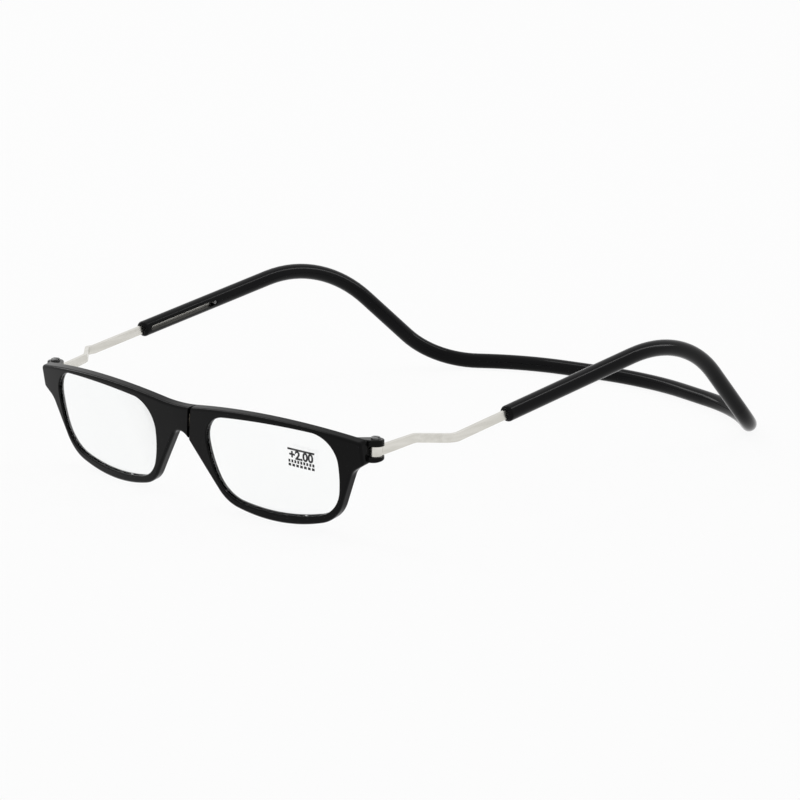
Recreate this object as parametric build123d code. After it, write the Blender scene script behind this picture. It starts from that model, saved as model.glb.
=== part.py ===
from build123d import *
import math
import os

# Reading glasses whose front parts at a magnetic joint in the bridge.
# Millimetres and degrees. X runs across the wearer's face (+X is the wearer's left),
# -Y is the way the wearer looks, +Z is up, and the glasses lie on the plane Z = 0.

# Front: half width, plan curve, lean and depth
front_half_width = 65.2
front_curve_radius = 297.0
front_lean = 10.6
front_depth = 3.0
front_edge_round = 0.8
back_edge_round = 0.35

# Lens opening in the rim: heights about the lens centre, and shares of the front's half width
lens_centre_share = 0.5161
opening_top = 13.7
opening_bottom = -13.2
opening_outer_share = 0.3589
opening_outer_height = 3.5
opening_nose_share = 0.3543
opening_nose_height = 2.0
opening_top_corner_share = 0.3466
opening_top_corner_height = 12.4
opening_outer_low_share = 0.3160
opening_outer_low_height = -10.1
opening_nose_low_share = 0.2822
opening_nose_low_height = -10.9
opening_top_radius = 8.5
opening_low_radius = 10.5

# Outer outline of the front: heights above the lens centre, and shares of the half width
bridge_top = 13.2
brow_top = 15.4
brow_end_top = 11.8
endpiece_bottom = 5.3
shoulder_share = 0.9370
shoulder_height = 2.8
cheek_share = 0.8310
cheek_height = -12.2
rim_bottom = -15.85
nose_corner_share = 0.2255
nose_corner_height = -12.7
nose_apex_height = 8.4
cheek_radius = 11.4
shoulder_radius = 5.0
endpiece_radius = 1.2
nose_corner_radius = 11.0
nose_arch_radius = 3.4
bridge_dip_radius = 60.0

# Parting joint of the bridge: its place at the magnets' height, its slant and its gap
seam_x = 4.55
seam_slant = 14.0
seam_gap = 0.08

# Magnets in the two ends of the bridge
magnet_length = 3.0
magnet_depth = 1.8
magnet_height = 5.0
magnet_recess = 0.15
magnet_fit = 0.03
magnet_mid_height = 9.2
magnet_edge_round = 0.3

# Lenses: plus power, so thicker in the middle than at the edge
lens_front_radius = 200.0
lens_back_radius = 1087.0
lens_side_thickness = 1.2
lens_setback = 0.6
groove_depth = 0.45
lens_bevel = 0.3
lens_fit = 0.04

# Hinge between the front and each arm
pin_outset = 0.3
pin_setback = 1.97
lug_radius = 2.4
lug_root_inset = 4.8
lug_root_advance = 1.33
lug_root_radius = 0.8
lower_lug_bottom = 22.5
lower_lug_height = 1.25
upper_lug_height = 1.8
tongue_height = 2.8
tongue_gap = 0.06
tongue_radius = 1.9
tongue_swing_gap = 0.3
lug_edge_round = 0.4
slot_open_outset = 0.1
slot_open_advance = 0.8

# Hinge screw and the threaded insert that it turns into
screw_radius = 0.6
screw_head_radius = 1.35
screw_head_height = 0.65
screw_head_round = 0.35
screw_slot_width = 0.4
screw_slot_depth = 0.3
screw_fit = 0.05
insert_radius = 1.1
insert_height = 0.8
insert_fit = 0.03

# Neckband tube and the corners of its centre line's left half, mirrored to the right.
# The shares are of the front's half width.
tube_radius = 2.35
tube_end_round = 0.9
mouth_outset = 8.9
mouth_y = 49.2
mouth_z = 29.6
crest_y = 124.5
crest_z = 41.15
crest_radius = 48.7
heel_y = 167.7
heel_share = 1.0184
heel_radius_share = 0.4190
nape_side_share = 0.6733
nape_side_rise_share = 0.2822
nape_side_radius_share = 0.9248
nape_share = 0.1426
nape_rise_share = 0.1181
nape_radius_share = 1.2270

# Arms: a flat metal strip with an eye at the hinge, cranked outwards to the tube
strip_thickness = 1.2
bar_height = 2.4
crank_start_outset = 1.8
crank_start_setback = 13.3
crank_end_setback = 20.1
crank_radius = 3.0
strip_crank_z = 26.75
strip_taper_end_setback = 22.7
bar_past_rivet = 2.75
bar_fit = 0.1
bore_end_gap = 0.7

# Slot along the inner side of each tube, and the stop rivet that rides in it
slot_start = 2.0
slot_length = 27.5
slot_width = 1.5
rivet_radius = 0.65
rivet_stop_gap = 0.1
rivet_tip_recess = 0.2
rivet_fit = 0.02
rivet_tip_round = 0.25

# One overrun for every cut, and how near an edge must lie to be picked
overrun = 4.0
edge_tolerance = 0.004

lens_centre_x = lens_centre_share * front_half_width
opening_outer_x = opening_outer_share * front_half_width
opening_nose_x = -opening_nose_share * front_half_width
opening_top_corner_x = opening_top_corner_share * front_half_width
opening_outer_low_x = opening_outer_low_share * front_half_width
opening_nose_low_x = -opening_nose_low_share * front_half_width
shoulder_x = shoulder_share * front_half_width
cheek_x = cheek_share * front_half_width
nose_corner_x = nose_corner_share * front_half_width

half_depth = front_depth / 2
plan_sagitta = front_curve_radius - math.sqrt(front_curve_radius**2 - lens_centre_x**2)
curve_centre_y = front_curve_radius - plan_sagitta
end_y = curve_centre_y - math.sqrt(front_curve_radius**2 - front_half_width**2)

pin_x = front_half_width + pin_outset
pin_y = end_y + pin_setback
lug_root_x = front_half_width - lug_root_inset
lug_root_y = end_y - lug_root_advance
slot_open_x = front_half_width + slot_open_outset
slot_open_y = pin_y - slot_open_advance
crank_start_x = pin_x + crank_start_outset
crank_start_y = pin_y + crank_start_setback
crank_end_y = pin_y + crank_end_setback
strip_taper_end_y = pin_y + strip_taper_end_setback
mouth_x = pin_x + mouth_outset
heel_x = heel_share * front_half_width
nape_side_x = nape_side_share * front_half_width
nape_side_y = heel_y + nape_side_rise_share * front_half_width
nape_x = nape_share * front_half_width
nape_y = nape_side_y + nape_rise_share * front_half_width
heel_radius = heel_radius_share * front_half_width
nape_side_radius = nape_side_radius_share * front_half_width
nape_radius = nape_radius_share * front_half_width

lower_lug_top = lower_lug_bottom + lower_lug_height
tongue_bottom = lower_lug_top + tongue_gap
tongue_top = tongue_bottom + tongue_height
upper_lug_bottom = tongue_top + tongue_gap
upper_lug_top = upper_lug_bottom + upper_lug_height
tongue_middle = (tongue_bottom + tongue_top) / 2

lens_wrap = math.degrees(math.asin(lens_centre_x / front_curve_radius))
lean = math.radians(front_lean)
round_y = front_edge_round - half_depth
round_z = front_edge_round + rim_bottom
lens_centre_z = front_edge_round - round_y * math.sin(lean) - round_z * math.cos(lean)
tube_slope = math.atan2(crest_z - mouth_z, crest_y - mouth_y)
rivet_distance = slot_start + slot_length - rivet_radius - rivet_stop_gap
bar_inside_length = rivet_distance + bar_past_rivet
reach = front_half_width + overrun


def nearest_vertex(shape, x, y):
    return min(shape.vertices(), key=lambda v: math.hypot(v.X - x, v.Y - y))


def round_corner(face, x, y, radius):
    return fillet(nearest_vertex(face, x, y), radius)


# Faces are drawn in X and height, then stood up and placed with the lean of the front
def stood_up(shape):
    return Pos(0, 0, lens_centre_z) * Rot(X=front_lean) * shape


# The opening, or the lens that stands "grow" further out into the groove all round
def opening_face(grow=0.0):
    top_height = opening_top_corner_height + grow
    outer_top = (opening_top_corner_x + grow, top_height)
    nose_top = (-opening_top_corner_x - grow, top_height)
    outer_low = (opening_outer_low_x + grow, opening_outer_low_height - grow)
    nose_low = (opening_nose_low_x - grow, opening_nose_low_height - grow)
    outer_middle = (opening_outer_x + grow, opening_outer_height)
    nose_middle = (opening_nose_x - grow, opening_nose_height)
    edges = [
        ThreePointArc(nose_top, (0, opening_top + grow), outer_top),
        ThreePointArc(outer_top, outer_middle, outer_low),
        ThreePointArc(outer_low, (0, opening_bottom - grow), nose_low),
        ThreePointArc(nose_low, nose_middle, nose_top),
    ]
    face = make_face(edges)
    for corner in (outer_top, nose_top):
        face = round_corner(face, *corner, opening_top_radius + grow)
    for corner in (outer_low, nose_low):
        face = round_corner(face, *corner, opening_low_radius + grow)
    return face


def outline_face():
    corners = [
        (front_half_width, brow_end_top, endpiece_radius),
        (front_half_width, endpiece_bottom, endpiece_radius),
        (shoulder_x, shoulder_height, shoulder_radius),
        (cheek_x, cheek_height, cheek_radius),
        (nose_corner_x, nose_corner_height, nose_corner_radius),
    ]
    edges = []
    for s in (1, -1):
        right = [(s * x, y) for x, y, _ in corners]
        edges.append(ThreePointArc((0, bridge_top), (s * lens_centre_x, brow_top), right[0]))
        edges.append(Line(right[0], right[1]))
        edges.append(Line(right[1], right[2]))
        edges.append(Line(right[2], right[3]))
        edges.append(ThreePointArc(right[3], (s * lens_centre_x, rim_bottom), right[4]))
        edges.append(Line(right[4], (0, nose_apex_height)))
    face = make_face(edges)
    for s in (1, -1):
        for x, y, radius in corners:
            face = round_corner(face, s * x, y, radius)
    face = round_corner(face, 0, nose_apex_height, nose_arch_radius)
    return round_corner(face, 0, bridge_top, bridge_dip_radius)


def curved_slab():
    outer = front_curve_radius + half_depth
    inner = front_curve_radius - half_depth
    outer_y = curve_centre_y - math.sqrt(outer**2 - reach**2)
    inner_y = curve_centre_y - math.sqrt(inner**2 - reach**2)
    edges = [
        ThreePointArc((-reach, outer_y), (0, curve_centre_y - outer), (reach, outer_y)),
        Line((reach, outer_y), (reach, inner_y)),
        ThreePointArc((reach, inner_y), (0, curve_centre_y - inner), (-reach, inner_y)),
        Line((-reach, inner_y), (-reach, outer_y)),
    ]
    return extrude(make_face(edges), amount=reach, both=True)


def lens_solid(extra):
    depth = lens_centre_x
    blank = extrude(Plane.XZ * opening_face(groove_depth + extra), amount=depth, both=True)
    half_width = opening_outer_x
    front_sag = lens_front_radius - math.sqrt(lens_front_radius**2 - half_width**2)
    back_sag = lens_back_radius - math.sqrt(lens_back_radius**2 - half_width**2)
    front_y = lens_setback - lens_side_thickness / 2 - extra - front_sag
    back_y = lens_setback + lens_side_thickness / 2 + extra - back_sag
    front_ball = Pos(0, front_y + lens_front_radius, 0) * Sphere(lens_front_radius)
    back_ball = Pos(0, back_y + lens_back_radius, 0) * Sphere(lens_back_radius)
    window = Box(reach, depth, reach)
    lens = (blank & window & front_ball) - back_ball
    lens = lens.solids()[0]
    rim_edges = []
    for edge in lens.edges():
        middle = edge.position_at(1 / 2)
        if math.hypot(middle.X, middle.Z) > opening_top / 2 and edge.length > lens_side_thickness * 2:
            rim_edges.append(edge)
    lens = chamfer(rim_edges, lens_bevel)
    return Pos(lens_centre_x, 0, 0) * Rot(Z=lens_wrap) * lens


def edges_on_radius(edges, radius):
    found = []
    for edge in edges:
        points = [edge.position_at(share) for share in (0, 1 / 2, 1)]
        gaps = [abs(math.hypot(p.X, p.Y - curve_centre_y) - radius) for p in points]
        if max(gaps) < edge_tolerance:
            found.append(edge)
    return found


def whole_front():
    front = extrude(Plane.XZ * outline_face(), amount=reach, both=True) & curved_slab()
    outer = front_curve_radius + half_depth
    inner = front_curve_radius - half_depth
    front = fillet(edges_on_radius(front.edges(), outer), front_edge_round)
    front = fillet(edges_on_radius(front.edges(), inner), back_edge_round)
    left_cutter = extrude(Plane.XZ * opening_face(), amount=reach, both=True)
    left_cutter = Pos(lens_centre_x, 0, 0) * Rot(Z=lens_wrap) * left_cutter
    for cutter in (left_cutter, mirror(left_cutter, about=Plane.YZ)):
        opened = front - cutter
        rims = new_edges(front, cutter, combined=opened)
        front = fillet(edges_on_radius(rims, outer) + edges_on_radius(rims, inner), back_edge_round)
    groove = lens_solid(lens_fit)
    front -= groove
    front -= mirror(groove, about=Plane.YZ)
    return stood_up(front)


# Each end of the bridge is part of a cone about its own hinge, so that either half can
# swing back past the other: at every height the back edge is the one nearest the seam
def end_back(side, height):
    x = seam_x + (height - magnet_mid_height) * math.tan(math.radians(seam_slant))
    inner = front_curve_radius - half_depth
    flat_y = curve_centre_y - math.sqrt(inner**2 - x**2)
    y = flat_y * math.cos(lean) - height * math.sin(lean)
    z = lens_centre_z + flat_y * math.sin(lean) + height * math.cos(lean)
    radius = math.hypot(pin_x - side * x - seam_gap / 2, pin_y - y)
    return y, z, radius


def end_cone(side):
    low_z, low_radius = end_back(side, 0)[1:]
    high_z, high_radius = end_back(side, bridge_top)[1:]
    growth = (high_radius - low_radius) / (high_z - low_z)
    bottom, top = -overrun, high_z + overrun
    cone = Cone(
        low_radius + growth * (bottom - low_z),
        high_radius + growth * (top - high_z),
        top - bottom,
        align=(Align.CENTER, Align.CENTER, Align.MIN),
    )
    return Pos(side * pin_x, pin_y, bottom) * cone


def magnet_place(side):
    y, z, radius = end_back(side, magnet_mid_height)
    y -= half_depth * math.cos(lean)
    z -= half_depth * math.sin(lean)
    swing = math.degrees(math.asin((pin_y - y) / radius))
    x = side * (pin_x - radius * math.cos(math.radians(swing)))
    return Pos(x, y, z) * Rot(X=front_lean) * Rot(Y=seam_slant) * Rot(Z=side * swing)


def magnet_solid(side, fit):
    block = Box(
        magnet_length + fit,
        magnet_depth + 2 * fit,
        magnet_height + 2 * fit,
        align=(Align.MIN, Align.CENTER, Align.CENTER),
    )
    block = fillet(block.edges().filter_by(Axis.X), magnet_edge_round)
    if side < 0:
        block = mirror(block, about=Plane.YZ)
    return magnet_place(side) * Pos(side * magnet_recess, 0, 0) * block


def magnet_pocket(side):
    inner = magnet_solid(side, magnet_fit)
    mouth = Box(overrun, magnet_depth + 2 * magnet_fit, magnet_height + 2 * magnet_fit)
    return inner + magnet_place(side) * mouth


# Fork of the hinge, drawn for the left side; its underside leans as the front does
def fork():
    ring = Pos(pin_x, pin_y) * Circle(lug_radius)
    root = Pos(lug_root_x, lug_root_y) * Circle(lug_root_radius)
    plan = make_hull(ring.edges() + root.edges())
    block = extrude(plan, amount=upper_lug_top)
    above = Box(reach, reach, reach, align=(Align.CENTER, Align.CENTER, Align.MIN))
    block &= Pos(pin_x, pin_y, lower_lug_bottom) * Rot(X=front_lean) * above
    ends = block.faces().sort_by(Axis.Z)
    return fillet(ends[0].edges() + ends[-1].edges(), lug_edge_round)


def fork_slot():
    eye = Pos(pin_x, pin_y) * Circle(tongue_radius + tongue_swing_gap)
    wide = 2 * lug_radius
    low_corner = (Align.MIN, Align.MIN)
    behind = Pos(pin_x - 2 * wide, slot_open_y) * Rectangle(3 * wide, 2 * wide, align=low_corner)
    beside = Pos(slot_open_x, pin_y - wide) * Rectangle(2 * wide, 3 * wide, align=low_corner)
    plan = eye + behind + beside
    return extrude(Pos(0, 0, lower_lug_top) * plan, amount=upper_lug_bottom - lower_lug_top)


def upright(radius, bottom, top):
    cylinder = Cylinder(radius, top - bottom, align=(Align.CENTER, Align.CENTER, Align.MIN))
    return Pos(pin_x, pin_y, bottom) * cylinder


def front_half(front, side):
    half = front & end_cone(side)
    half = max(half.solids(), key=lambda s: s.volume)
    half -= magnet_pocket(side)
    hinge = fork()
    cuts = fork_slot() + upright(screw_radius + screw_fit, lower_lug_top, upper_lug_top + overrun)
    cuts += upright(insert_radius + insert_fit, lower_lug_top - insert_height, lower_lug_top + tongue_gap)
    if side < 0:
        hinge = mirror(hinge, about=Plane.YZ)
        cuts = mirror(cuts, about=Plane.YZ)
    half = half + hinge - cuts
    return max(half.solids(), key=lambda s: s.volume)


def hinge_screw():
    shank = upright(screw_radius, lower_lug_top - insert_height + tongue_gap, upper_lug_top)
    head = upright(screw_head_radius, upper_lug_top, upper_lug_top + screw_head_height)
    head = fillet(head.edges().group_by(Axis.Z)[-1], screw_head_round)
    slot = Box(2 * overrun, screw_slot_width, 2 * screw_slot_depth)
    return shank + head - Pos(pin_x, pin_y, upper_lug_top + screw_head_height) * slot


def hinge_insert():
    ring = upright(insert_radius, lower_lug_top - insert_height, lower_lug_top)
    return ring - upright(screw_radius + insert_fit, lower_lug_bottom, lower_lug_top + overrun)


# Frame of the straight front run of the left tube: Z back along the tube, X to the left
tube_frame = Plane(
    origin=(mouth_x, mouth_y, mouth_z),
    x_dir=(1, 0, 0),
    z_dir=(0, math.cos(tube_slope), math.sin(tube_slope)),
)


def rivet_solid(radius):
    length = strip_thickness / 2 + tube_radius - rivet_tip_recess
    pin = Cylinder(radius, length, align=(Align.CENTER, Align.CENTER, Align.MAX))
    place = tube_frame * Pos(strip_thickness / 2, 0, rivet_distance) * Rot(Y=90)
    return place * pin


def stop_rivet():
    rivet = rivet_solid(rivet_radius)
    tip = rivet.edges().group_by(Axis.X)[0]
    return fillet(tip, rivet_tip_round)


def arm():
    end_y = mouth_y + bar_inside_length * math.cos(tube_slope)
    route = FilletPolyline(
        (pin_x, pin_y),
        (crank_start_x, crank_start_y),
        (mouth_x, crank_end_y),
        (mouth_x, end_y),
        radius=crank_radius,
    )
    plan = trace(route, line_width=strip_thickness) + Pos(pin_x, pin_y) * Circle(tongue_radius)
    plan_solid = extrude(plan, amount=crest_z)

    def bar_middle(y):
        return mouth_z + (y - mouth_y) * math.tan(tube_slope)

    half_bar = bar_height / 2 / math.cos(tube_slope)
    start_y = pin_y - tongue_radius - overrun
    shoulder_y = pin_y + lug_radius
    taper_y = strip_taper_end_y
    profile = Polyline(
        (start_y, tongue_bottom),
        (shoulder_y, tongue_bottom),
        (crank_start_y, strip_crank_z - half_bar),
        (crank_end_y, strip_crank_z - half_bar),
        (taper_y, bar_middle(taper_y) - half_bar),
        (end_y, bar_middle(end_y) - half_bar),
        (end_y, bar_middle(end_y) + half_bar),
        (taper_y, bar_middle(taper_y) + half_bar),
        (crank_end_y, strip_crank_z + half_bar),
        (crank_start_y, strip_crank_z + half_bar),
        (shoulder_y, tongue_top),
        (start_y, tongue_top),
        close=True,
    )
    side_solid = extrude(Plane.YZ * make_face(profile), amount=mouth_x + tube_radius)
    strip = plan_solid & side_solid
    strip -= upright(screw_radius + screw_fit, 0, crest_z)
    strip -= rivet_solid(rivet_radius + rivet_fit)
    return max(strip.solids(), key=lambda s: s.volume)


def tube_cuts():
    depth = bar_inside_length + bore_end_gap
    bore = Box(
        strip_thickness + 2 * bar_fit,
        bar_height + 2 * bar_fit,
        depth + overrun,
        align=(Align.CENTER, Align.CENTER, Align.MIN),
    )
    bore = tube_frame * Pos(0, 0, -overrun) * bore
    slot_plane = Plane(
        origin=(tube_frame * Pos(0, 0, slot_start + slot_length / 2)).position,
        x_dir=tube_frame.z_dir,
        z_dir=(-1, 0, 0),
    )
    slot = extrude(slot_plane * SlotOverall(slot_length, slot_width), amount=tube_radius + overrun)
    return bore + slot


def neckband():
    left_route = [
        (mouth_x, mouth_y, mouth_z),
        (mouth_x, crest_y, crest_z),
        (heel_x, heel_y, tube_radius),
        (nape_side_x, nape_side_y, tube_radius),
        (nape_x, nape_y, tube_radius),
    ]
    left_radii = [crest_radius, heel_radius, nape_side_radius, nape_radius]
    route = left_route + [(-x, y, z) for x, y, z in reversed(left_route)]
    path = FilletPolyline(*route, radius=left_radii + left_radii[::-1])
    tube = sweep(tube_frame * Circle(tube_radius), path=path)
    print("tube volume over section times length:", tube.volume / (math.pi * tube_radius**2 * path.length))
    circles = tube.edges().filter_by(GeomType.CIRCLE)
    mouths = [edge for edge in circles if edge.center().Y < mouth_y + tube_radius]
    tube = fillet(mouths, tube_end_round)
    cuts = tube_cuts()
    tube -= cuts
    tube -= mirror(cuts, about=Plane.YZ)
    return tube


def build_parts():
    front = whole_front()
    parts = {"neckband": neckband()}
    for side, name in ((1, "left"), (-1, "right")):
        parts[f"{name}_front"] = front_half(front, side)
        parts[f"{name}_bridge_magnet"] = magnet_solid(side, 0)
        pair = {
            "lens": stood_up(lens_solid(0)),
            "hinge_screw": hinge_screw(),
            "hinge_insert": hinge_insert(),
            "arm": arm(),
            "stop_rivet": stop_rivet(),
        }
        for piece, solid in pair.items():
            if side < 0:
                solid = mirror(solid, about=Plane.YZ)
            parts[f"{name}_{piece}"] = solid
    return parts


# The origin is the middle of the whole object's box, on the plane that it lies on
parts = build_parts()
box = Compound(children=[Compound(list(p.solids())) for p in parts.values()]).bounding_box()
to_origin = Pos(0, -(box.min.Y + box.max.Y) / 2, -box.min.Z)
os.makedirs("parts", exist_ok=True)
for name, solid in parts.items():
    export_step(to_origin * solid, f"parts/{name}.step")
shift = to_origin.position
print("overall size:", box.size)
print("hinge pin at:", pin_x, pin_y + shift.Y)
print("slide direction:", 0, -math.cos(tube_slope), -math.sin(tube_slope))
print("tube mouth at:", mouth_x, mouth_y + shift.Y, mouth_z + shift.Z)
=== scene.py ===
import math

import bpy
from mathutils import Matrix, Vector


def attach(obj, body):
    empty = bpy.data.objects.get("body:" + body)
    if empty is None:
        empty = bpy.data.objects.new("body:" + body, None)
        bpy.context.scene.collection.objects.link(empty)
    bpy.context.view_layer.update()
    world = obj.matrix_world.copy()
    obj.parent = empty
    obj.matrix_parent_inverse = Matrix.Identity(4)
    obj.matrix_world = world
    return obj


# Camera, at the photograph's viewing angle
CAMERA_PLACE = (0.838007, -0.872689, 0.306908)
CAMERA_AHEAD = (-0.67756, 0.69653, -0.23613)
CAMERA_UP = (-0.16848, 0.16552, 0.97171)
CAMERA_LENS = 189.11
CAMERA_NEAR_LIMIT = 0.05
SENSOR_WIDTH = 36.0

# Front's lean and each lens's wrap, the left lens's middle, its front curve and where that starts,
# as in the CAD
FRONT_LEAN = math.radians(10.6)
LENS_WRAP = math.radians(6.505)
LENS_MIDDLE = (0.03365, -0.0952, 0.01573)
LENS_RADIUS = 0.200
LENS_FRONT = -0.00137

# Printed patch on the left lens: its middle, its turn, how far it stands off the lens, and its width
PRINT_MIDDLE = (0.0111, 0.0047)
PRINT_TURN = math.radians(-5)
PRINT_OFFSET = 0.00003
PRINT_WIDTH = 0.0090

# The patch's plain power: its size, its height in the patch, its boldness and steps in each curve
PRINT_TEXT = "+2.00"
PRINT_TEXT_SIZE = 0.0035
PRINT_TEXT_RISE = 0.0007
PRINT_TEXT_WEIGHT = 0.00015
PRINT_TEXT_STEPS = 6

# Rows of bars in the patch, each with its top, its height, and the width and pitch of its bars
PRINT_ROWS = [
    (0.0027, 0.0006, PRINT_WIDTH, PRINT_WIDTH),
    (-0.0007, 0.0009, 0.00065, 0.0010),
    (-0.0019, 0.0008, 0.0009, 0.0013),
]

# Every finish: where its cloud's two shades part, the detail of its cloud and of its grain, how
# much finer the grain is than the cloud, and the strength of its relief
SHADE_PARTING = (0.3, 0.7)
CLOUD_DETAIL = 2.0
GRAIN_DETAIL = 4.0
GRAIN_FINENESS = 9
RELIEF_STRENGTH = 0.25

# Refractive index of the black plastics and of the lenses
PLASTIC_INDEX = 1.45
LENS_INDEX = 1.49

# Lenses: the two shades of their faint tint, its scale, the scale of their smears, and roughness
LENS_TINT = ((0.965, 0.975, 0.972), (0.985, 0.99, 0.988))
LENS_TINT_SCALE = 20.0
LENS_SMEAR_SCALE = 60.0
LENS_ROUGHNESS = (0.0, 0.02)

# Strength of the white that the camera sees, and of the soft light on the object
WHITE = 0.985
SOFT_LIGHT = 0.65

# Floor: half its width, its grey, and how clear it is to the camera
HALF_FLOOR = 4.0
FLOOR_GREY = 0.86
FLOOR_CLEARNESS = 0.94

# Softboxes: each one's place, the point that it faces, its width and length, and its power
SOFTBOXES = {
    "top_softbox": ((-0.3, 0.1, 1.6), (0, 0, 0), (2.1, 1.7), 2.8),
    "band_strip": ((0.8, 1.5, 1.2), (0, 0, 0.02), (0.25, 1.6), 8.0),
    "brow_strip": ((-1.3, -0.2, 1.2), (0, -0.09, 0.02), (0.3, 1.6), 8.0),
}

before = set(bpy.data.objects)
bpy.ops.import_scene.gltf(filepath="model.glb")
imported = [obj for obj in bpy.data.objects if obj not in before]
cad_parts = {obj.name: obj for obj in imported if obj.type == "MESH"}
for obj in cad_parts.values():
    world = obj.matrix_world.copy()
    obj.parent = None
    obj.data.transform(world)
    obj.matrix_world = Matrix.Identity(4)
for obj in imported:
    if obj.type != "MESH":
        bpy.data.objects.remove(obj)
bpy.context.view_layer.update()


def new_material(name):
    material = bpy.data.materials.new(name)
    material.use_nodes = True
    tree = material.node_tree
    return material, tree, tree.nodes["Principled BSDF"]


def object_coordinates(tree, stretch=(1, 1, 1)):
    source = tree.nodes.new("ShaderNodeTexCoord")
    mapping = tree.nodes.new("ShaderNodeMapping")
    mapping.inputs["Scale"].default_value = stretch
    tree.links.new(source.outputs["Object"], mapping.inputs["Vector"])
    return mapping.outputs["Vector"]


def noise(tree, vector, scale, detail=CLOUD_DETAIL):
    node = tree.nodes.new("ShaderNodeTexNoise")
    node.inputs["Scale"].default_value = scale
    node.inputs["Detail"].default_value = detail
    tree.links.new(vector, node.inputs["Vector"])
    return node.outputs["Fac"]


def ramp(tree, value, low, high):
    node = tree.nodes.new("ShaderNodeMapRange")
    node.inputs["To Min"].default_value = low
    node.inputs["To Max"].default_value = high
    tree.links.new(value, node.inputs["Value"])
    return node.outputs["Result"]


def colour_ramp(tree, value, *colours):
    node = tree.nodes.new("ShaderNodeValToRGB")
    for element, colour, position in zip(node.color_ramp.elements, colours, SHADE_PARTING):
        element.color = (*colour, 1)
        element.position = position
    tree.links.new(value, node.inputs["Fac"])
    return node.outputs["Color"]


def bump(tree, shader, value, distance):
    node = tree.nodes.new("ShaderNodeBump")
    node.inputs["Strength"].default_value = RELIEF_STRENGTH
    node.inputs["Distance"].default_value = distance
    tree.links.new(value, node.inputs["Height"])
    tree.links.new(node.outputs["Normal"], shader.inputs["Normal"])


# A finish whose colour drifts in a soft cloud and whose gloss varies in a fine grain, which also
# stands up by the relief. The other sockets are named with _ for a space.
def surface(name, shades, roughness, scale, stretch=(1, 1, 1), relief=0.0, **sockets):
    material, tree, shader = new_material(name)
    vector = object_coordinates(tree, stretch)
    cloud = noise(tree, vector, scale)
    tree.links.new(colour_ramp(tree, cloud, *shades), shader.inputs["Base Color"])
    grain = noise(tree, vector, scale * GRAIN_FINENESS, GRAIN_DETAIL)
    tree.links.new(ramp(tree, grain, *roughness), shader.inputs["Roughness"])
    if relief:
        bump(tree, shader, grain, relief)
    for socket, value in sockets.items():
        shader.inputs[socket.replace("_", " ")].default_value = value
    return material


# Clear plastic with a faint tint and slight smears
def clear_lens():
    material, tree, shader = new_material("lens_clear")
    vector = object_coordinates(tree)
    tint = colour_ramp(tree, noise(tree, vector, LENS_TINT_SCALE), *LENS_TINT)
    tree.links.new(tint, shader.inputs["Base Color"])
    smears = ramp(tree, noise(tree, vector, LENS_SMEAR_SCALE), *LENS_ROUGHNESS)
    tree.links.new(smears, shader.inputs["Roughness"])
    shader.inputs["IOR"].default_value = LENS_INDEX
    shader.inputs["Transmission Weight"].default_value = 1.0
    return material


band_black = surface(
    "band_black", shades=((0.002, 0.002, 0.0025), (0.004, 0.004, 0.0045)), roughness=(0.08, 0.15),
    scale=30.0, relief=0.00001, IOR=PLASTIC_INDEX, Specular_IOR_Level=0.09,
)
front_black = surface(
    "front_black", shades=((0.002, 0.002, 0.002), (0.004, 0.004, 0.0042)), roughness=(0.05, 0.09),
    scale=35.0, relief=0.000006, IOR=PLASTIC_INDEX, Specular_IOR_Level=0.10,
)
arm_steel = surface(
    "arm_steel", shades=((0.60, 0.585, 0.54), (0.70, 0.685, 0.64)), roughness=(0.18, 0.30),
    scale=90.0, stretch=(8, 0.6, 8), relief=0.000002, Metallic=1.0,
)
screw_steel = surface(
    "screw_steel", shades=((0.10, 0.10, 0.10), (0.16, 0.16, 0.16)), roughness=(0.22, 0.34),
    scale=300.0, Metallic=1.0,
)
magnet_nickel = surface(
    "magnet_nickel", shades=((0.62, 0.60, 0.56), (0.70, 0.68, 0.64)), roughness=(0.12, 0.22),
    scale=200.0, Metallic=1.0,
)
insert_brass = surface(
    "insert_brass", shades=((0.66, 0.48, 0.20), (0.78, 0.60, 0.30)), roughness=(0.24, 0.36),
    scale=400.0, Metallic=1.0,
)
print_ink = surface(
    "print_ink", shades=((0.006, 0.006, 0.007), (0.012, 0.012, 0.013)), roughness=(0.45, 0.6),
    scale=500.0,
)

MATERIALS = {
    "neckband": band_black,
    "front": front_black,
    "lens": clear_lens(),
    "bridge_magnet": magnet_nickel,
    "hinge_screw": screw_steel,
    "hinge_insert": insert_brass,
    "arm": arm_steel,
    "stop_rivet": screw_steel,
}
for name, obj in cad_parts.items():
    kind = name.replace("left_", "").replace("right_", "")
    for slot in obj.material_slots:
        slot.material = MATERIALS[kind]


# A point just off the left lens's front face, from its place across and up the lens
def on_lens(across, up):
    sag = LENS_RADIUS - math.sqrt(LENS_RADIUS**2 - across**2 - up**2)
    local = Vector((across, LENS_FRONT + sag - PRINT_OFFSET, up))
    wrap = Matrix.Translation((LENS_MIDDLE[0], 0, 0)) @ Matrix.Rotation(LENS_WRAP, 4, "Z")
    place = Matrix.Rotation(FRONT_LEAN, 4, "X") @ wrap @ local
    return place + Vector((0, LENS_MIDDLE[1], LENS_MIDDLE[2]))


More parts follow.
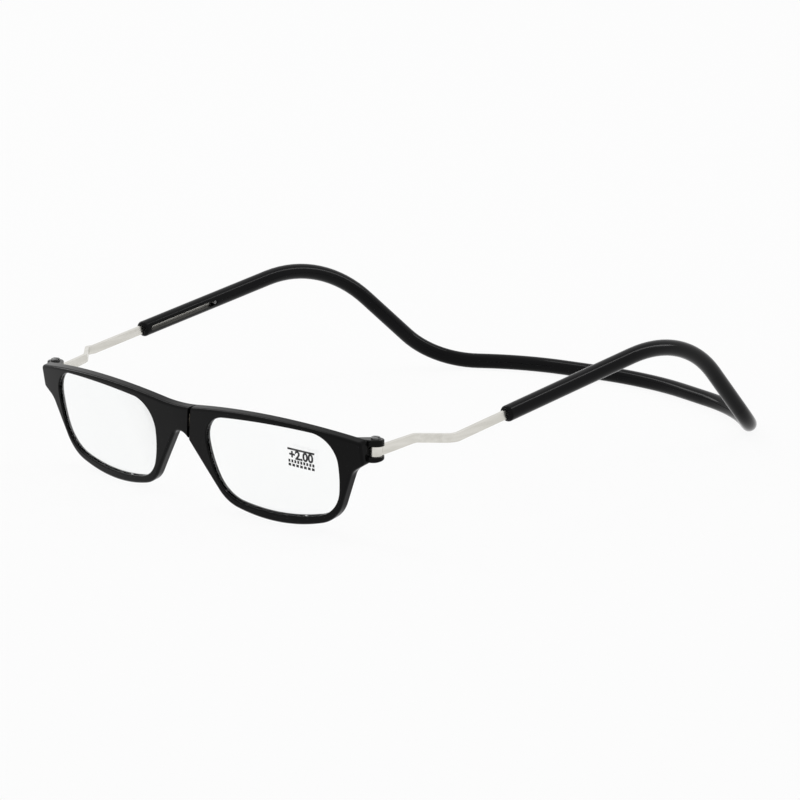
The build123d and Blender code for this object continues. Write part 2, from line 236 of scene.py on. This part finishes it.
# Points and faces of the power's text, flat in the patch's plane
def flat_text():
    curve = bpy.data.curves.new("power_text", "FONT")
    curve.body = PRINT_TEXT
    curve.size = PRINT_TEXT_SIZE
    curve.offset = PRINT_TEXT_WEIGHT
    curve.align_x = "CENTER"
    curve.align_y = "CENTER"
    curve.resolution_u = PRINT_TEXT_STEPS
    text = bpy.data.objects.new("power_text", curve)
    bpy.context.scene.collection.objects.link(text)
    bpy.context.view_layer.update()
    flat = bpy.data.meshes.new_from_object(text)
    bpy.data.objects.remove(text)
    points = [(v.co.x, v.co.y + PRINT_TEXT_RISE) for v in flat.vertices]
    faces = [tuple(p.vertices) for p in flat.polygons]
    return points, faces


# Four corners of each bar in a row, in the patch's plane
def row_of_bars(top, height, width, pitch):
    count = round(PRINT_WIDTH / pitch)
    foot = top - height
    bars = []
    for k in range(count):
        middle = (k - (count - 1) / 2) * pitch
        left = middle - width / 2
        right = middle + width / 2
        bars.append([(left, top), (right, top), (right, foot), (left, foot)])
    return bars


# The text and its bars, turned in the patch's plane and laid on the lens
def printed_power():
    points, faces = flat_text()
    for row in PRINT_ROWS:
        for corners in row_of_bars(*row):
            first = len(points)
            points += corners
            faces.append((first, first + 3, first + 2, first + 1))
    cosine, sine = math.cos(PRINT_TURN), math.sin(PRINT_TURN)
    turned = [(x * cosine - y * sine, x * sine + y * cosine) for x, y in points]
    laid = [on_lens(x + PRINT_MIDDLE[0], y + PRINT_MIDDLE[1]) for x, y in turned]
    mesh = bpy.data.meshes.new("printed_power")
    mesh.from_pydata(laid, [], faces)
    mesh.update()
    mesh.materials.append(print_ink)
    piece = bpy.data.objects.new("printed_power", mesh)
    bpy.context.scene.collection.objects.link(piece)
    return piece


power = printed_power()
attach(power, "left_front_half")


# One for the rays of the camera, of gloss and of glass, and nought for others
def background_share(tree):
    path = tree.nodes.new("ShaderNodeLightPath")
    total = path.outputs["Is Camera Ray"]
    for ray in ("Is Glossy Ray", "Is Transmission Ray"):
        adder = tree.nodes.new("ShaderNodeMath")
        adder.operation = "MAXIMUM"
        tree.links.new(total, adder.inputs[0])
        tree.links.new(path.outputs[ray], adder.inputs[1])
        total = adder.outputs["Value"]
    return total


def background(tree, strength):
    node = tree.nodes.new("ShaderNodeBackground")
    node.inputs["Color"].default_value = (1, 1, 1, 1)
    node.inputs["Strength"].default_value = strength
    return node.outputs["Background"]


def mixed(tree, share, first, second):
    node = tree.nodes.new("ShaderNodeMixShader")
    tree.links.new(share, node.inputs["Fac"])
    tree.links.new(first, node.inputs[1])
    tree.links.new(second, node.inputs[2])
    return node.outputs["Shader"]


# White where the camera, gloss or glass looks past the object, soft grey light elsewhere
def studio_world():
    world = bpy.data.worlds.new("studio")
    world.use_nodes = True
    tree = world.node_tree
    tree.nodes.clear()
    soft = background(tree, SOFT_LIGHT)
    white = background(tree, WHITE)
    out = tree.nodes.new("ShaderNodeOutputWorld")
    tree.links.new(mixed(tree, background_share(tree), soft, white), out.inputs["Surface"])
    return world


# The camera sees the white world through the floor, which adds little but the object's shadow. So
# the fronts still show whole where the sloping tubes let them slide down past the floor.
def floor_material():
    material = bpy.data.materials.new("floor_white")
    material.use_nodes = True
    tree = material.node_tree
    tree.nodes.clear()
    diffuse = tree.nodes.new("ShaderNodeBsdfDiffuse")
    diffuse.inputs["Color"].default_value = (FLOOR_GREY, FLOOR_GREY, FLOOR_GREY, 1)
    clear = tree.nodes.new("ShaderNodeBsdfTransparent")
    share = tree.nodes.new("ShaderNodeMath")
    share.operation = "MULTIPLY"
    share.inputs[1].default_value = FLOOR_CLEARNESS
    tree.links.new(background_share(tree), share.inputs[0])
    shown = mixed(tree, share.outputs["Value"], diffuse.outputs["BSDF"], clear.outputs["BSDF"])
    out = tree.nodes.new("ShaderNodeOutputMaterial")
    tree.links.new(shown, out.inputs["Surface"])
    return material


def studio_floor():
    mesh = bpy.data.meshes.new("floor")
    corners = [(-HALF_FLOOR, -HALF_FLOOR, 0), (HALF_FLOOR, -HALF_FLOOR, 0)]
    corners += [(HALF_FLOOR, HALF_FLOOR, 0), (-HALF_FLOOR, HALF_FLOOR, 0)]
    mesh.from_pydata(corners, [], [(0, 1, 2, 3)])
    mesh.materials.append(floor_material())
    floor = bpy.data.objects.new("floor", mesh)
    bpy.context.scene.collection.objects.link(floor)
    return floor


bpy.context.scene.world = studio_world()
floor = studio_floor()


def softbox(name, place, target, size, power):
    light = bpy.data.lights.new(name, "AREA")
    light.shape = "RECTANGLE"
    light.size, light.size_y = size
    light.energy = power
    lamp = bpy.data.objects.new(name, light)
    lamp.location = place
    ahead = Vector(target) - Vector(place)
    lamp.rotation_euler = ahead.to_track_quat("-Z", "Y").to_euler()
    bpy.context.scene.collection.objects.link(lamp)


for name, values in SOFTBOXES.items():
    softbox(name, *values)


def photo_camera():
    data = bpy.data.cameras.new("camera")
    data.lens = CAMERA_LENS
    data.sensor_width = SENSOR_WIDTH
    data.clip_start = CAMERA_NEAR_LIMIT
    camera = bpy.data.objects.new("camera", data)
    ahead = Vector(CAMERA_AHEAD).normalized()
    side = ahead.cross(Vector(CAMERA_UP)).normalized()
    up = side.cross(ahead)
    turn = Matrix((side, up, -ahead)).transposed().to_4x4()
    camera.matrix_world = Matrix.Translation(CAMERA_PLACE) @ turn
    bpy.context.scene.collection.objects.link(camera)
    return camera


bpy.context.scene.camera = photo_camera()
bpy.context.scene.view_settings.view_transform = "Standard"
